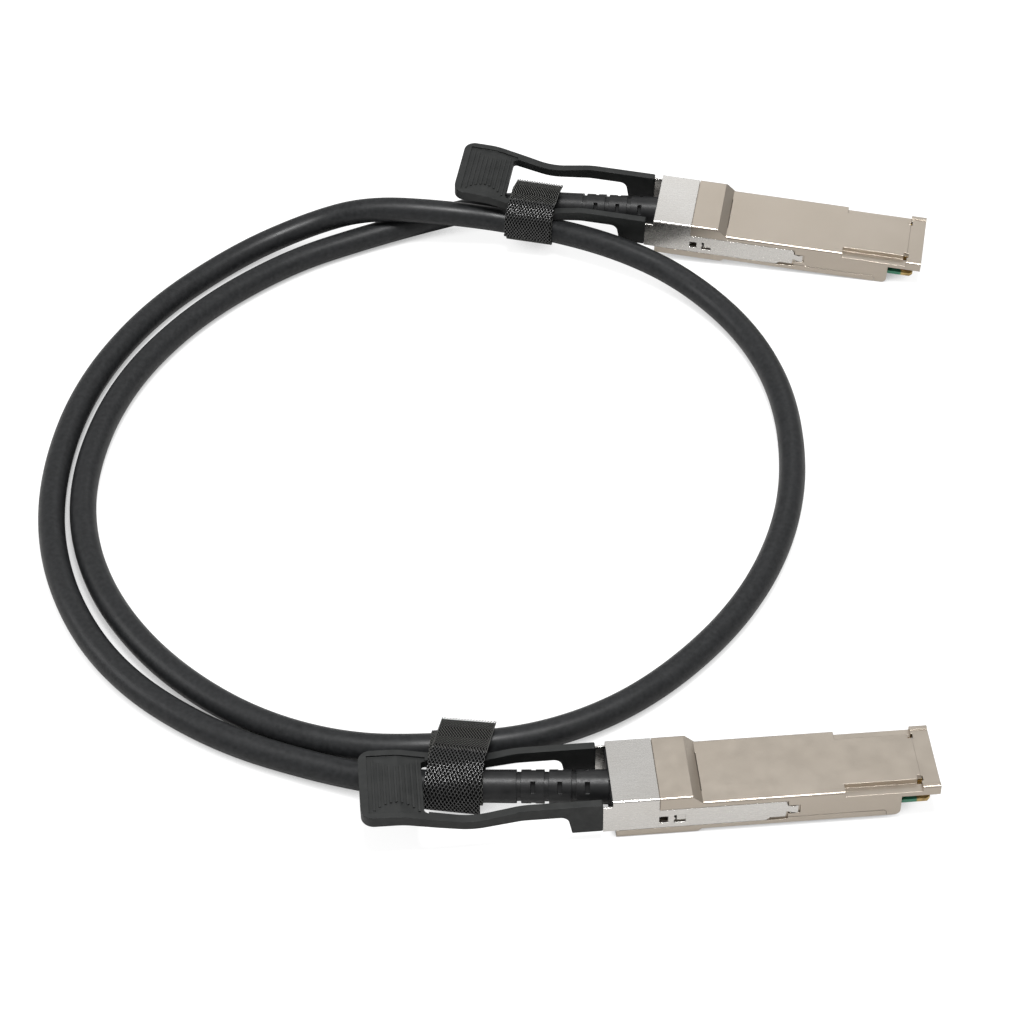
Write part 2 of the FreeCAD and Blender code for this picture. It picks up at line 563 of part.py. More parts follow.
def plug(letter):
    """One complete plug where it lies; gives back the boot's end and a point straight behind it."""
    tag = "_" + letter
    turn = FreeCAD.Rotation(*PLUG_TURN[letter])
    place = FreeCAD.Placement(PLUG_AT[letter] + LAYOUT, turn)
    for make in (upper_housing, lower_cover, latch_slider, pull_tab, paddle_card, edge_contacts,
                 eeprom_chip, twinax_pairs, crimp_ferrule, cover_screws, return_springs):
        make(tag, place.copy())
    boot = strain_relief(tag, place.copy())
    doc.recompute()
    length = SIZES["boot_length"]
    return [boot.Placement.multVec(FreeCAD.Vector(-x, 0, 0)) for x in (length, length + 14)]


def round_route(points):
    """Straight runs joined by tangent arcs, as one wire."""
    pieces = []
    here = points[0]
    for before, corner, after in zip(points, points[1:], points[2:]):
        back = before - corner
        ahead = after - corner
        trim = 0.45 * min(back.Length, ahead.Length)
        back.normalize()
        ahead.normalize()
        start = corner + back * trim
        end = corner + ahead * trim
        half = back.getAngle(ahead) / 2
        radius = trim * math.tan(half)
        middle = corner + (back + ahead).normalize() * (radius / math.sin(half) - radius)
        pieces.append(Part.LineSegment(here, start))
        pieces.append(Part.Arc(start, middle, end))
        radii.append(radius)
        here = end
    pieces.append(Part.LineSegment(here, points[-1]))
    return Part.Wire([piece.toShape() for piece in pieces])


def cable(start, end):
    """Jacketed cable on its route, face to face with both boots."""
    points = start + [FreeCAD.Vector(*spot) + LAYOUT for spot in ROUTE] + end[::-1]
    path = round_route(points)
    profile = Part.Circle(points[0], points[1] - points[0], SIZES["cable_radius"]).toShape()
    tube = path.makePipeShell([Part.Wire([profile])], True, True)
    item = doc.addObject("Part::Feature", "cable")
    item.Shape = tube
    item.Label = "cable"
    nodes.append(item)
    section = math.pi * SIZES["cable_radius"] ** 2
    print("cable length %.1f, volume ratio %.4f" % (path.Length, tube.Volume / section / path.Length))
    print("tightest bends", sorted(round(r) for r in radii)[:4])


def tie(letter, place, lean, corners):
    """Hook-and-loop strap closed round the strands, its edges leaning towards +X by some degrees."""
    body = new_body("tie_" + letter)
    band = pad(body, "YZ_Plane", "strap_" + letter, corners, "tie_wide + 20")
    spots = [(value(a), value(b)) for a, b in corners]
    ease(body, "Fillet", "strap_bends_" + letter, band, X, spots, "2.4")
    middle_y = sum(y for y, z in spots) / len(spots)
    middle_z = sum(z for y, z in spots) / len(spots)
    inner = []
    for i, (y, z) in enumerate(spots):
        before = spots[i - 1]
        after = spots[(i + 1) % len(spots)]
        inner.append(inset(before, (y, z), after, (middle_y, middle_z)))
    hole = pocket(body, "YZ_Plane", "loop_" + letter, inner, "tie_wide + 22")
    ease(body, "Fillet", "loop_bends_" + letter, hole, X,
         [(value(a), value(b)) for a, b in inner], "1.4")
    for side in (1, -1):
        pocket(body, "XY_Plane", "edge_%s%d" % (letter, side), waste(side, lean), "60")
    return keep(body, "tie_" + letter, place)


def waste(side, lean):
    """Plan of what is cut off beside the strap's leaning edge, on its front or back side in X."""
    reach = 30.0
    half = side * SIZES["tie_wide"] / 2 / math.cos(math.radians(lean))
    shift = reach * math.tan(math.radians(lean))
    plan = [(half - shift, -reach), (half + shift, reach), (side * reach, reach),
            (side * reach, -reach)]
    return [("%.4f" % x, "%.4f" % y) for x, y in plan]


def inset(before, corner, after, middle):
    """Corner of the strap's inner face, one strap thickness inside both walls."""
    sides = []
    for start, end in ((before, corner), (corner, after)):
        run = FreeCAD.Vector(end[0] - start[0], end[1] - start[1], 0).normalize()
        inward = FreeCAD.Vector(-run.y, run.x, 0)
        if inward.dot(FreeCAD.Vector(middle[0] - corner[0], middle[1] - corner[1], 0)) < 0:
            inward = inward * -1
        sides.append((run, inward))
    (run_in, in_one), (run_out, in_two) = sides
    thick = SIZES["tie_thick"]
    bisector = (in_one + in_two).normalize()
    step = bisector * (thick / bisector.dot(in_one))
    return ("%.4f" % (corner[0] + step.x), "%.4f" % (corner[1] + step.y))


def ties():
    """Tie A round the coil beside plug A, tie B round the strands behind plug B."""
    near = [("2.3", "0.4"), ("19.8", "0.4"), ("22.0", "4.2"), ("20.7", "7.9"), ("12.6", "12.2"),
            ("3.1", "12.2"), ("-1.7", "8.2"), ("-1.7", "3.7")]
    tie("a", FreeCAD.Placement(LAYOUT + FreeCAD.Vector(-32.3, 0, 0), FreeCAD.Rotation()), 14.5, near)
    far = [("1.2", "-1.4"), ("4.4", "3.2"), ("3.4", "7.1"), ("-3.8", "12.1"), ("-10.3", "12.1"),
           ("-14.2", "7.4"), ("-14.2", "1.7"), ("-11.1", "-1.4")]
    turn = FreeCAD.Rotation(*PLUG_TURN["b"])
    spot = PLUG_AT["b"] + turn.multVec(FreeCAD.Vector(-32.8, 0, 0))
    tie("b", FreeCAD.Placement(LAYOUT + spot, turn), 0.0, far)


def check_and_export():
    """Stop on any object that failed, then write one STEP file per sub-part."""
    doc.recompute()
    for item in doc.Objects:
        bad = [state for state in item.State if state in ("Invalid", "Error")]
        if bad:
            raise RuntimeError("%s (%s) is %s" % (item.Name, item.TypeId, bad))
    for item in nodes:
        shape = item.Shape
        if shape.isNull() or not shape.isValid():
            raise RuntimeError("bad shape in " + item.Label)
        shape.exportStep("parts/%s.step" % item.Label)
    print("%d sub-parts written" % len(nodes))


radii = []
cable(plug("a"), plug("b"))
ties()
check_and_export()
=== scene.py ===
"""Looks of the direct attach cable: finishes, jacket, hook-and-loop ties, light and camera."""

import math

import bmesh
import bpy
from mathutils import Euler, Matrix, Vector


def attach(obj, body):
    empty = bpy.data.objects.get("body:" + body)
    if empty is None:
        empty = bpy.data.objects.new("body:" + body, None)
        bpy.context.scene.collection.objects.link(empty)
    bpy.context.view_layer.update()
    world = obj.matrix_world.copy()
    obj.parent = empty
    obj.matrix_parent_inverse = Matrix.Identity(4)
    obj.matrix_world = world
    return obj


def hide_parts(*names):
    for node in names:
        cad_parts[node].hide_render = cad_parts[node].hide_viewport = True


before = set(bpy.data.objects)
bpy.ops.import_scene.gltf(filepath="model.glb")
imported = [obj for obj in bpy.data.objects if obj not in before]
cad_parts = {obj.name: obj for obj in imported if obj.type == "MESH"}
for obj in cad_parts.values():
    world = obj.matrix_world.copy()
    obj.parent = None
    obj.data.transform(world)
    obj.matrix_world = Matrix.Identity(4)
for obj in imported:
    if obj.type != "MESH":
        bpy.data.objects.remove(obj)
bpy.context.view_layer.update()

MM = 0.001
# From the layout, whose origin is the back of plug A on the table, to the part's own frame.
LAYOUT = Vector((-0.026221, -0.106911, 0.0))
PLUG_A = Matrix.Translation(LAYOUT)
PLUG_B_PLACE = Vector((0.034799, 0.202088, 0.0033005))
PLUG_B_ROLL, PLUG_B_PITCH, PLUG_B_YAW = math.radians(6.82), math.radians(3.0), math.radians(-14.85)
PLUG_B = Matrix.Translation(PLUG_B_PLACE + LAYOUT) @ Euler(
    (PLUG_B_ROLL, PLUG_B_PITCH, PLUG_B_YAW), "XYZ").to_matrix().to_4x4()

CABLE_WIDTH = 6.6 * MM
TIE_WIDTH = 12.4 * MM
TIE_ROUNDING = 6.0 * MM
# The cable's route in metres, in the layout: out of boot A, nearly twice round the coil and
# into boot B.
ROUTE = [
    (-0.02828, 0.00347, 0.00585), (-0.04217, 0.00518, 0.00549),
    (-0.062, 0.0129, 0.0036), (-0.0883, 0.0262, 0.0033), (-0.111, 0.0475, 0.0033),
    (-0.1245, 0.076, 0.0033), (-0.1288, 0.1085, 0.0033), (-0.1223, 0.146, 0.0033),
    (-0.1056, 0.1774, 0.0033), (-0.0816, 0.2007, 0.0033), (-0.06, 0.2105, 0.0058),
    (-0.044, 0.2095, 0.0106), (-0.024, 0.2058, 0.0106), (-0.0024, 0.2041, 0.0066),
    (0.0218, 0.1907, 0.0075), (0.0404, 0.1769, 0.0049), (0.0548, 0.1535, 0.0033),
    (0.06, 0.124, 0.0033), (0.0555, 0.088, 0.0033), (0.04, 0.056, 0.0033),
    (0.015, 0.031, 0.0033), (-0.01, 0.0185, 0.0039), (-0.036, 0.0153, 0.0058),
    (-0.06, 0.0196, 0.0039), (-0.0836, 0.0326, 0.0033), (-0.1043, 0.0546, 0.0033),
    (-0.1176, 0.0822, 0.0033), (-0.121, 0.113, 0.0033), (-0.1123, 0.148, 0.0033),
    (-0.0935, 0.176, 0.0033), (-0.068, 0.1965, 0.0033), (-0.044, 0.2065, 0.0033),
    (-0.022, 0.2123, 0.0044), (-0.00629, 0.21143, 0.0081), (0.00729, 0.20808, 0.00867),
]


# ---------------------------------------------------------------- materials
class Paint:
    """A material with a Principled shader and short ways to add nodes to it."""

    def __init__(self, name, colour, roughness, metallic=0.0, shine=0.5):
        self.material = bpy.data.materials.new(name)
        self.material.use_nodes = True
        self.nodes = self.material.node_tree.nodes
        self.links = self.material.node_tree.links
        self.shader = self.nodes["Principled BSDF"]
        self.shader.inputs["Base Color"].default_value = (*colour, 1.0)
        self.shader.inputs["Roughness"].default_value = roughness
        self.shader.inputs["Metallic"].default_value = metallic
        self.shader.inputs["Specular IOR Level"].default_value = shine
        self.coords = self.nodes.new("ShaderNodeTexCoord")

    def add(self, kind, **values):
        """A new node; each value goes to the socket of that name, or else to the setting."""
        node = self.nodes.new(kind)
        for key, value in values.items():
            socket = key.replace("_", " ").title()
            if socket in node.inputs:
                node.inputs[socket].default_value = value
            else:
                setattr(node, key, value)
        return node

    def join(self, out, into):
        self.links.new(out, into)

    def stretched(self, scale):
        """Coordinates scaled unevenly, for drawn grain or lanes."""
        mapping = self.add("ShaderNodeMapping")
        mapping.inputs["Scale"].default_value = scale
        self.join(self.coords.outputs["Object"], mapping.inputs["Vector"])
        return mapping.outputs["Vector"]

    def noise(self, scale, detail=3.0, vector=None):
        node = self.add("ShaderNodeTexNoise", scale=scale, detail=detail)
        self.join(vector or self.coords.outputs["Object"], node.inputs["Vector"])
        return node.outputs["Fac"]

    def ramp(self, factor, *stops):
        """Colour that follows the factor through stops of (place, colour)."""
        node = self.add("ShaderNodeValToRGB")
        ramp = node.color_ramp
        while len(ramp.elements) < len(stops):
            ramp.elements.new(0.5)
        for element, (place, colour) in zip(ramp.elements, stops):
            element.position = place
            element.color = (*colour, 1.0)
        self.join(factor, node.inputs["Fac"])
        return node.outputs["Color"]

    def mottle(self, factor, dark, light, low=0.3, high=0.7):
        """Base colour that goes from dark to light as the factor goes from low to high."""
        tone = self.ramp(factor, (low, dark), (high, light))
        self.join(tone, self.shader.inputs["Base Color"])

    def rough(self, factor, low, high):
        """Roughness that goes from low to high as the factor goes from 0.3 to 0.7."""
        node = self.add("ShaderNodeMapRange")
        for name, value in zip(("From Min", "From Max", "To Min", "To Max"), (0.3, 0.7, low, high)):
            node.inputs[name].default_value = value
        self.join(factor, node.inputs["Value"])
        self.join(node.outputs["Result"], self.shader.inputs["Roughness"])

    def bumps(self, *layers, edge=None):
        """Bump layers of (height, strength, distance), over a softened edge normal if asked."""
        normal = None
        if edge:
            soft = self.add("ShaderNodeBevel", samples=6)
            soft.inputs["Radius"].default_value = edge
            normal = soft.outputs["Normal"]
        for height, strength, distance in layers:
            bump = self.add("ShaderNodeBump", strength=strength, distance=distance)
            self.join(height, bump.inputs["Height"])
            if normal:
                self.join(normal, bump.inputs["Normal"])
            normal = bump.outputs["Normal"]
        if normal:
            self.join(normal, self.shader.inputs["Normal"])


def nickel_shell():
    """Cast zinc with a warm satin nickel plate: faint clouds and fine grain."""
    paint = Paint("nickel_shell", (0.5, 0.44, 0.37), 0.34, 1.0)
    paint.mottle(paint.noise(60.0, 4.0), (0.48, 0.425, 0.36), (0.505, 0.45, 0.385))
    paint.rough(paint.noise(240.0, 5.0), 0.31, 0.36)
    paint.bumps((paint.noise(9000.0, 2.0), 0.12, 0.00002), (paint.noise(700.0, 3.0), 0.1, 0.00006),
                edge=0.00016)
    return paint.material


def slider_plate():
    """Smooth rolled steel with a cooler tone and a very fine lengthwise grain."""
    paint = Paint("slider_plate", (0.62, 0.6, 0.57), 0.27, 1.0)
    grain = paint.noise(1.0, 3.0, paint.stretched((300.0, 6000.0, 6000.0)))
    paint.rough(grain, 0.25, 0.29)
    paint.mottle(paint.noise(90.0, 3.0), (0.65, 0.63, 0.6), (0.68, 0.665, 0.64))
    paint.bumps((grain, 0.02, 0.00002), edge=0.00012)
    return paint.material


def moulded(name, dark, light, roughness, grain, depth):
    """Moulded black plastic or rubber with spark-eroded grain."""
    spread = 0.07
    paint = Paint(name, dark, roughness, shine=0.25)
    paint.mottle(paint.noise(350.0, 4.0), dark, light, high=0.72)
    paint.rough(paint.noise(900.0, 3.0), roughness - spread, roughness + spread)
    paint.bumps((paint.noise(grain, 3.0), depth, 0.00005), edge=0.00015)
    return paint.material


def plain_metal(name, dark, light, roughness):
    """Small metal parts, with slightly uneven tone."""
    paint = Paint(name, light, roughness, 1.0)
    paint.mottle(paint.noise(800.0, 3.0), dark, light)
    paint.bumps((paint.noise(4000.0, 2.0), 0.1, 0.00002), edge=0.00006)
    return paint.material


def board(letter, plug):
    """Green solder mask with darker traces, bare gold and laminate at the card's front edge."""
    bare, blur = 3.0 * MM, 0.2 * MM
    piece = bpy.data.objects["paddle_card_" + letter]
    ahead = plug.to_3x3().col[0]
    tip = max(ahead.dot(vertex.co) for vertex in piece.data.vertices)
    paint = Paint("board_" + letter, (0.02, 0.2, 0.1), 0.32)
    along = paint.add("ShaderNodeVectorMath", operation="DOT_PRODUCT")
    along.inputs[1].default_value = ahead
    paint.join(paint.coords.outputs["Object"], along.inputs[0])
    front = paint.add("ShaderNodeMapRange")
    front.inputs["From Min"].default_value = tip - bare - blur
    front.inputs["From Max"].default_value = tip - bare
    paint.join(along.outputs["Value"], front.inputs["Value"])
    lanes = paint.add("ShaderNodeTexWave", scale=200.0, distortion=1.5, wave_type="BANDS")
    paint.join(paint.stretched((0.1, 1.0, 1.0)), lanes.inputs["Vector"])
    green = paint.ramp(lanes.outputs["Fac"], (0.35, (0.006, 0.06, 0.035)),
                       (0.65, (0.02, 0.16, 0.09)))
    gold = paint.ramp(paint.noise(900.0), (0.3, (0.22, 0.14, 0.04)), (0.7, (0.5, 0.34, 0.1)))
    blend = paint.add("ShaderNodeMix", data_type="RGBA")
    factor, first, second = blend.inputs[0], blend.inputs[6], blend.inputs[7]
    paint.join(front.outputs["Result"], factor)
    paint.join(green, first)
    paint.join(gold, second)
    paint.join(blend.outputs[2], paint.shader.inputs["Base Color"])
    paint.bumps((lanes.outputs["Fac"], 0.2, 0.00003), edge=0.00008)
    return paint.material


def jacket():
    """Matt black PVC with a faint mottle and uneven sheen."""
    paint = Paint("jacket", (0.012, 0.0125, 0.013), 0.4, shine=0.22)
    spots = paint.noise(900.0, 6.0)
    paint.mottle(spots, (0.009, 0.0095, 0.01), (0.018, 0.0185, 0.0195), high=0.75)
    paint.rough(paint.noise(130.0, 4.0), 0.34, 0.46)
    paint.bumps((spots, 0.18, 0.00005), (paint.noise(180.0, 2.0), 0.12, 0.0002))
    return paint.material


def nylon(name, dark, light, roughness, shine):
    """Yarn or backing of the ties."""
    paint = Paint(name, dark, roughness, shine=shine)
    paint.mottle(paint.noise(2500.0, 3.0), dark, light)
    paint.bumps((paint.noise(5000.0, 2.0), 0.1, 0.00003))
    return paint.material


def put(name, data):
    """A new object in the scene with this data."""
    piece = bpy.data.objects.new(name, data)
    bpy.context.scene.collection.objects.link(piece)
    return piece


# ---------------------------------------------------------------- jacket
def cable():
    """The jacketed cable: one smooth line through the whole route."""
    curve = bpy.data.curves.new("cable_jacket", "CURVE")
    curve.dimensions = "3D"
    line = curve.splines.new("NURBS")
    line.points.add(len(ROUTE) - 1)
    for point, spot in zip(line.points, ROUTE):
        point.co = (*(Vector(spot) + LAYOUT), 1.0)
    line.order_u = 3
    line.use_endpoint_u = True
    line.resolution_u = 16
    curve.bevel_depth = CABLE_WIDTH / 2.0
    curve.bevel_resolution = 10
    piece = put("cable_jacket", curve)
    curve.materials.append(jacket())
    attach(piece, "root")
    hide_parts("cable")


# ---------------------------------------------------------------- hook-and-loop ties
class Strap:
    """A strap's way over its bundle: a rounded outline in the tie's own plane.

    Corners are (y, z) in millimetres. Lean tilts the edges and skew the rows, both in degrees.
    """

    def __init__(self, place, corners, lean, skew, closed):
        self.place = place
        self.lean = math.radians(lean)
        self.skew = math.radians(skew)
        self.closed = closed
        self.spots = self.rounded([Vector((0.0, y, z)) * MM for y, z in corners])
        self.lengths = [0.0]
        for start, end in zip(self.spots, self.spots[1:] + self.spots[:int(closed)]):
            self.lengths.append(self.lengths[-1] + (end - start).length)
        self.total = self.lengths[-1]

    def rounded(self, corners):
        """The corners with an arc in place of each one, apart from the ends of an open strap."""
        arc_steps = 8
        edge_share = 0.45
        line = []
        count = len(corners)
        for i, corner in enumerate(corners):
            if not self.closed and i in (0, count - 1):
                line.append(corner)
                continue
            before, after = corners[i - 1], corners[(i + 1) % count]
            back = (before - corner).normalized()
            ahead = (after - corner).normalized()
            half = back.angle(ahead) / 2.0
            trim = min(TIE_ROUNDING / math.tan(half), edge_share * (before - corner).length,
                       edge_share * (after - corner).length)
            start = corner + back * trim
            end = corner + ahead * trim
            for step in range(arc_steps + 1):
                t = step / arc_steps
                line.append(start.lerp(corner, t).lerp(corner.lerp(end, t), t))
        return line

    def at(self, distance):
        """Point and outward normal at a distance along the strap."""
        if self.closed:
            distance %= self.total
        low, high = 0, len(self.lengths) - 1
        while high - low > 1:
            middle = (low + high) // 2
            low, high = (middle, high) if self.lengths[middle] <= distance else (low, middle)
        start = self.spots[low]
        end = self.spots[(low + 1) % len(self.spots)]
        step = max(self.lengths[low + 1] - self.lengths[low], 1e-9)
        run = (end - start).normalized()
        normal = Vector((0.0, run.z, -run.y))
        return start.lerp(end, (distance - self.lengths[low]) / step), normal

    def point(self, distance, across, lift):
        """Point on or above the strap, its normal smoothed over a short way."""
        smooth = 0.7 * MM
        distance += across * math.sin(self.skew)
        spot, normal = self.at(distance)
        ahead = self.at(distance + smooth)[1]
        behind = self.at(distance - smooth)[1]
        normal = (normal + ahead + behind).normalized()
        spot = spot + normal * lift
        spot.x = across / math.cos(self.lean) + math.tan(self.lean) * spot.y
        return self.place @ spot


def strap_band(name, strap, start, length, shift, lift):
    """Backing fabric: a thin sheet along the strap, darker than the yarns and without reflection,
    so it is also the painted shade in the net's holes.
    """
    columns, row, thick = 12, 0.35 * MM, 0.15 * MM
    mesh = bmesh.new()
    bmesh.ops.create_grid(mesh, x_segments=columns, y_segments=max(8, int(length / row)), size=0.5)
    for vertex in mesh.verts:
        across = vertex.co.x * TIE_WIDTH + shift
        distance = start + (vertex.co.y + 0.5) * length
        vertex.co = strap.point(distance, across, lift)
    bmesh.ops.recalc_face_normals(mesh, faces=mesh.faces)
    bmesh.ops.solidify(mesh, geom=mesh.faces[:], thickness=thick)
    bmesh.ops.recalc_face_normals(mesh, faces=mesh.faces)
    data = bpy.data.meshes.new(name)
    mesh.to_mesh(data)
    mesh.free()
    for polygon in data.polygons:
        polygon.use_smooth = True
    piece = put(name, data)
    data.materials.append(tie_backing_and_hole_shade)
    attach(piece, "root")
    return piece


def strap_yarns(name, lines, thick, finish):
    """Thin tubes along lists of points."""
    curve = bpy.data.curves.new(name, "CURVE")
    curve.dimensions = "3D"
    curve.bevel_depth = thick / 2.0
    curve.bevel_resolution = 1
    for spots in lines:
        line = curve.splines.new("POLY")
        line.points.add(len(spots) - 1)
        for point, spot in zip(line.points, spots):
            point.co = (*spot, 1.0)
    piece = put(name, curve)
    curve.materials.append(finish)
    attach(piece, "root")
    return piece


def net_lines(strap, start, length, shift, lift):
    """Warp-knit net: wavy yarns that meet side by side and leave six-sided holes."""
    gaps = 29
    cell, points_each = 1.4 * MM, 6.0
    gather, sway, sharpness = 0.97, 0.4, 0.2
    height, ripple = 0.08 * MM, 0.05 * MM
    pitch = TIE_WIDTH / gaps
    steps = int(length / (cell / points_each))
    lines = []
    for yarn in range(gaps + 1):
        middle = (yarn - gaps / 2.0) * pitch * gather + shift
        spots = []
        for number in range(steps + 1):
            distance = length * number / steps
            phase = 2.0 * math.pi * distance / cell + math.pi * (yarn % 2)
            wave = math.sin(phase) + sharpness * math.sin(3.0 * phase)
            rise = height + ripple * math.cos(2.0 * phase)
            spots.append(strap.point(start + distance, middle + wave * sway * pitch, lift + rise))
        lines.append(spots)
    return lines


def pile_lines(strap, start, length, lift):
    """Loop pile: fine stitches on lines that slant one way and then the other."""
    columns = 23
    reach, zigzag = 1.2 * MM, 3.6 * MM
    spacing, stitch_points = 0.16 * MM, 4.0
    height, ripple = 0.22 * MM, 0.1 * MM
    half = 0.5 * TIE_WIDTH
    steps = int(length / spacing)
    lines = []
    for column in range(columns):
        middle = (column / (columns - 1.0) - 0.5) * (TIE_WIDTH + 2.0 * reach)
        spots = []
        for number in range(steps + 1):
            distance = length * number / steps
            slant = abs((distance / zigzag) % 2.0 - 1.0) - 0.5
            across = max(-half, min(half, middle + slant * 2.0 * reach))
            rise = height + ripple * math.sin(2.0 * math.pi * number / stitch_points)
            spots.append(strap.point(start + distance, across, lift + rise))
        lines.append(spots)
    return lines


def tie(letter, strap, below, shift, pile):
    """One tie: an under layer all round and an outer layer with a cut end, pile first, then net."""
    lead = 2.5 * MM
    overlap = 0.5 * MM
    under_lift, under_net_lift = -0.8 * MM, -0.52 * MM
    outer_lift, outer_net_lift, pile_lift = -0.5 * MM, -0.08 * MM, -0.2 * MM
    under_yarn, outer_yarn, pile_yarn = 0.2 * MM, 0.19 * MM, 0.22 * MM
    span = strap.total - lead
    under = strap_band("tie_%s_under" % letter, below, 0.0, below.total, shift, under_lift)
    # The under layer's net takes the pile finish, so its lighter row is partly painted glints.
    under_net = strap_yarns("tie_%s_under_net" % letter,
                            net_lines(below, 0.0, below.total, shift, under_net_lift),
                            under_yarn, tie_pile_and_glints)
    outer = strap_band("tie_%s_outer" % letter, strap, lead, span, 0.0, outer_lift)
    outer_net = strap_yarns("tie_%s_outer_net" % letter,
                            net_lines(strap, lead + pile - overlap, span - pile, 0.0,
                                      outer_net_lift),
                            outer_yarn, tie_hooks)
    loops = strap_yarns("tie_%s_pile" % letter, pile_lines(strap, lead, pile, pile_lift),
                        pile_yarn, tie_pile_and_glints)
    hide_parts("tie_" + letter)


def ties():
    """Tie A behind plug A's boot and tie B behind plug B's, each round its own bundle."""
    place = PLUG_A @ Matrix.Translation(Vector((-34.9, 0, 0)) * MM)
    over = Strap(place, [(23.2, 8.1), (12.5, 11.3), (8.5, 12.2), (4.8, 12.2), (0.6, 10.3),
                         (-1.7, 7.4), (-1.7, 3.4)], lean=14.5, skew=16.0, closed=False)
    around = Strap(place, [(3.2, 1.1), (19.8, 0.5), (21.6, 4.2), (20.2, 7.8), (12.5, 11.1),
                           (8.5, 12.0), (4.0, 12.0), (-1.4, 8.0), (-1.5, 3.9)],
                   lean=7.0, skew=7.0, closed=True)
    tie("a", over, around, shift=0.6 * MM, pile=12.0 * MM)
    place = PLUG_B @ Matrix.Translation(Vector((-32.8, 0, 0)) * MM)
    over = Strap(place, [(3.2, 9.5), (-3.8, 12.1), (-10.0, 12.1), (-13.6, 10.6), (-14.8, 7.6),
                         (-14.5, 3.0)], lean=4.0, skew=0.0, closed=False)
    around = Strap(place, [(1.2, -1.4), (4.4, 3.2), (3.4, 7.1), (-3.8, 12.0), (-10.0, 12.0),
                           (-14.0, 8.6), (-14.2, 1.7), (-11.1, -1.4)],
                   lean=-1.0, skew=0.0, closed=True)
    tie("b", over, around, shift=-0.8 * MM, pile=10.0 * MM)


# ---------------------------------------------------------------- finishes on the solid parts
def dress():
    """Put each finish on its parts of both plugs."""
    finishes = {
        "upper_housing": nickel_shell(),
        "latch_slider": slider_plate(),
        "pull_tab": moulded("tab_plastic", (0.011, 0.0118, 0.0115), (0.018, 0.0188, 0.0184), 0.5,
                            5000.0, 0.15),
        "strain_relief": moulded("boot_rubber", (0.009, 0.0092, 0.0095), (0.015, 0.015, 0.0155),
                                 0.4, 4000.0, 0.2),
        "cover_screws": plain_metal("screw_steel", (0.3, 0.3, 0.3), (0.45, 0.45, 0.45), 0.35),
        "crimp_ferrule": plain_metal("ferrule_brass", (0.5, 0.38, 0.18), (0.62, 0.5, 0.28), 0.35),
        "edge_contacts": plain_metal("contact_gold", (0.72, 0.46, 0.14), (0.85, 0.58, 0.22), 0.22),
        "twinax_pairs": plain_metal("pair_foil", (0.6, 0.6, 0.62), (0.75, 0.75, 0.77), 0.35),
        "return_spring_left": plain_metal("spring_steel", (0.5, 0.5, 0.52), (0.66, 0.66, 0.68),
                                          0.2),
        "eeprom_chip": moulded("chip_black", (0.02, 0.02, 0.02), (0.03, 0.03, 0.03), 0.5,
                               6000.0, 0.1),
    }
    finishes["lower_cover"] = finishes["upper_housing"]
    finishes["return_spring_right"] = finishes["return_spring_left"]
    for name, finish in finishes.items():
        for letter in "ab":
            piece = bpy.data.objects["%s_%s" % (name, letter)]
            for number in range(max(1, len(piece.material_slots))):
                piece.material_slots[number].material = finish
    for letter, plug in (("a", PLUG_A), ("b", PLUG_B)):
        bpy.data.objects["paddle_card_" + letter].material_slots[0].material = board(letter, plug)


# ---------------------------------------------------------------- studio
def floor():
    """White table, mostly glowing to the camera, with contact shade and a darker reflection."""
    half_size, drop = 4.0, 0.0001
    glow_share, glow_strength = 0.8, 1.12
    contact = 6.0 * MM
    mesh = bmesh.new()
    bmesh.ops.create_grid(mesh, x_segments=1, y_segments=1, size=half_size)
    data = bpy.data.meshes.new("floor")
    mesh.to_mesh(data)
    mesh.free()
    piece = put("floor", data)
    piece.location = (0.0, 0.0, -drop)
    paint = Paint("floor_white", (0.9, 0.9, 0.9), 0.9, shine=0.0)
    glow = paint.add("ShaderNodeEmission", strength=glow_strength)
    path = paint.add("ShaderNodeLightPath")
    mix = paint.add("ShaderNodeMixShader")
    share = paint.add("ShaderNodeMath", operation="MULTIPLY")
    share.inputs[1].default_value = glow_share
    tone = paint.ramp(path.outputs["Is Glossy Ray"], (0.0, (0.9, 0.9, 0.9)),
                      (1.0, (0.47, 0.465, 0.46)))
    near = paint.add("ShaderNodeAmbientOcclusion", distance=contact, samples=8)
    shade = paint.ramp(near.outputs["AO"], (0.05, (0.25, 0.25, 0.25)), (0.5, (1.0, 1.0, 1.0)))
    paint.join(shade, glow.inputs["Color"])
    paint.join(tone, paint.shader.inputs["Base Color"])
    paint.join(path.outputs["Is Camera Ray"], share.inputs[0])
    paint.join(share.outputs[0], mix.inputs["Fac"])
    paint.join(paint.shader.outputs["BSDF"], mix.inputs[1])
    paint.join(glow.outputs["Emission"], mix.inputs[2])
    paint.join(mix.outputs["Shader"], paint.nodes["Material Output"].inputs["Surface"])
    data.materials.append(paint.material)


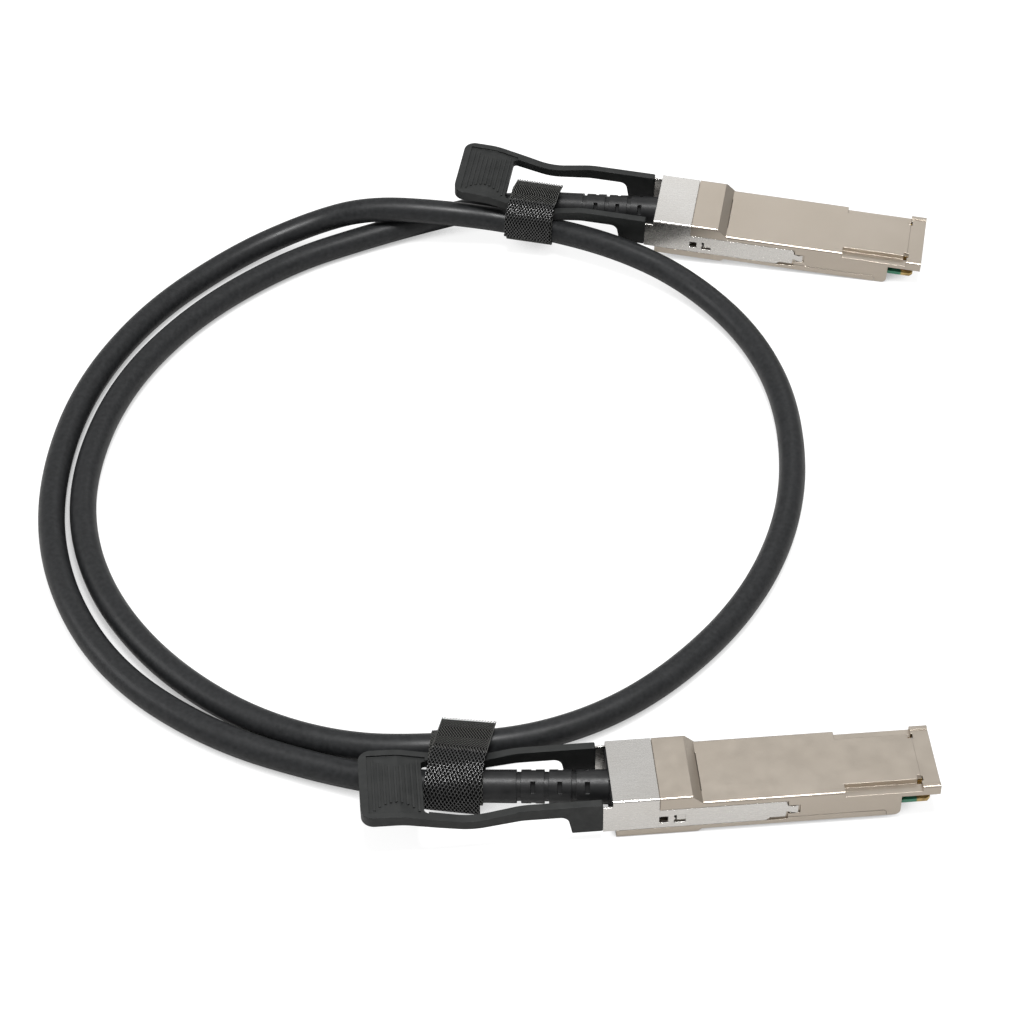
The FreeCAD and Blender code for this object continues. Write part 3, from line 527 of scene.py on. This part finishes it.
def surroundings():
    """Pale studio, brighter overhead than at the horizon; plain white to the camera."""
    tones = ((0.0, 0.42), (0.45, 0.51), (0.75, 0.66), (1.0, 0.7))
    light_strength, backdrop_strength = 0.95, 1.1
    world = bpy.data.worlds.new("studio")
    bpy.context.scene.world = world
    world.use_nodes = True
    nodes, links = world.node_tree.nodes, world.node_tree.links
    coords = nodes.new("ShaderNodeTexCoord")
    split = nodes.new("ShaderNodeSeparateXYZ")
    ramp = nodes.new("ShaderNodeValToRGB")
    elements = ramp.color_ramp.elements
    for place, tone in tones:
        element = elements.new(place) if 0.0 < place < 1.0 else elements[0 if place == 0.0 else -1]
        element.color = (tone, tone, tone, 1.0)
    links.new(coords.outputs["Generated"], split.inputs["Vector"])
    links.new(split.outputs["Z"], ramp.inputs["Fac"])
    back = nodes["Background"]
    back.inputs["Strength"].default_value = light_strength
    links.new(ramp.outputs["Color"], back.inputs["Color"])
    clear = nodes.new("ShaderNodeBackground")
    clear.inputs["Color"].default_value = (1.0, 1.0, 1.0, 1.0)
    clear.inputs["Strength"].default_value = backdrop_strength
    path = nodes.new("ShaderNodeLightPath")
    mix = nodes.new("ShaderNodeMixShader")
    links.new(path.outputs["Is Camera Ray"], mix.inputs["Fac"])
    links.new(back.outputs["Background"], mix.inputs[1])
    links.new(clear.outputs["Background"], mix.inputs[2])
    links.new(mix.outputs["Shader"], nodes["World Output"].inputs["Surface"])


def softbox(name, place, aim, size, power):
    """A rectangular light at a place, aimed at a point."""
    lamp = bpy.data.lights.new(name, "AREA")
    lamp.shape = "RECTANGLE"
    lamp.size, lamp.size_y = size
    lamp.energy = power
    piece = put(name, lamp)
    piece.location = place
    piece.rotation_euler = (Vector(aim) - Vector(place)).to_track_quat("-Z", "Y").to_euler()


def camera():
    """Long lens that looks down on the coil at about 44 degrees."""
    eye = Vector((-0.04814, -0.4003, 0.47907))
    side, height, roll = math.radians(-3.962), math.radians(43.88), math.radians(-1.027)
    back = Vector((math.sin(side) * math.cos(height), -math.cos(side) * math.cos(height),
                   math.sin(height)))
    right = Vector((math.cos(side), math.sin(side), 0.0))
    up = back.cross(right)
    turned_right = right * math.cos(roll) + up * math.sin(roll)
    turned_up = up * math.cos(roll) - right * math.sin(roll)
    data = bpy.data.cameras.new("camera")
    data.lens = 97.73
    data.sensor_width = 36.0
    data.clip_start = 0.01
    piece = put("camera", data)
    turn = Matrix((turned_right, turned_up, back)).transposed().to_4x4()
    piece.matrix_world = Matrix.Translation(eye + LAYOUT) @ turn
    bpy.context.scene.camera = piece


camera()
surroundings()
floor()
softbox("overhead", place=(0.0, -0.14, 0.94), aim=(0.0, 0.0, 0.0), size=(0.24, 0.26), power=11.0)
softbox("back", place=(0.14, 0.52, 0.42), aim=(0.05, 0.1, 0.0), size=(0.25, 0.15), power=0.14)
softbox("left", place=(-0.9, 0.1, 0.6), aim=(0.0, 0.0, 0.0), size=(0.5, 0.5), power=3.0)
# Backing: the fabric's own black, made darker than the yarns and without reflection as painted
# shade in the net's holes.
tie_backing_and_hole_shade = nylon("tie_backing_and_hole_shade", (0.004, 0.004, 0.004), (0.008, 0.008, 0.008), 0.8, 0.0)
tie_hooks = nylon("tie_hooks", (0.01, 0.01, 0.01), (0.024, 0.024, 0.024), 0.24, 1.0)
# Pile: the loops' own dark tone, made lighter than the hooks as painted glints, since the loops
# catch little of the overhead lamp.
tie_pile_and_glints = nylon("tie_pile_and_glints", (0.025, 0.025, 0.023), (0.065, 0.065, 0.06), 0.4, 0.4)
cable()
ties()
dress()
bpy.context.scene.view_settings.view_transform = "Standard"
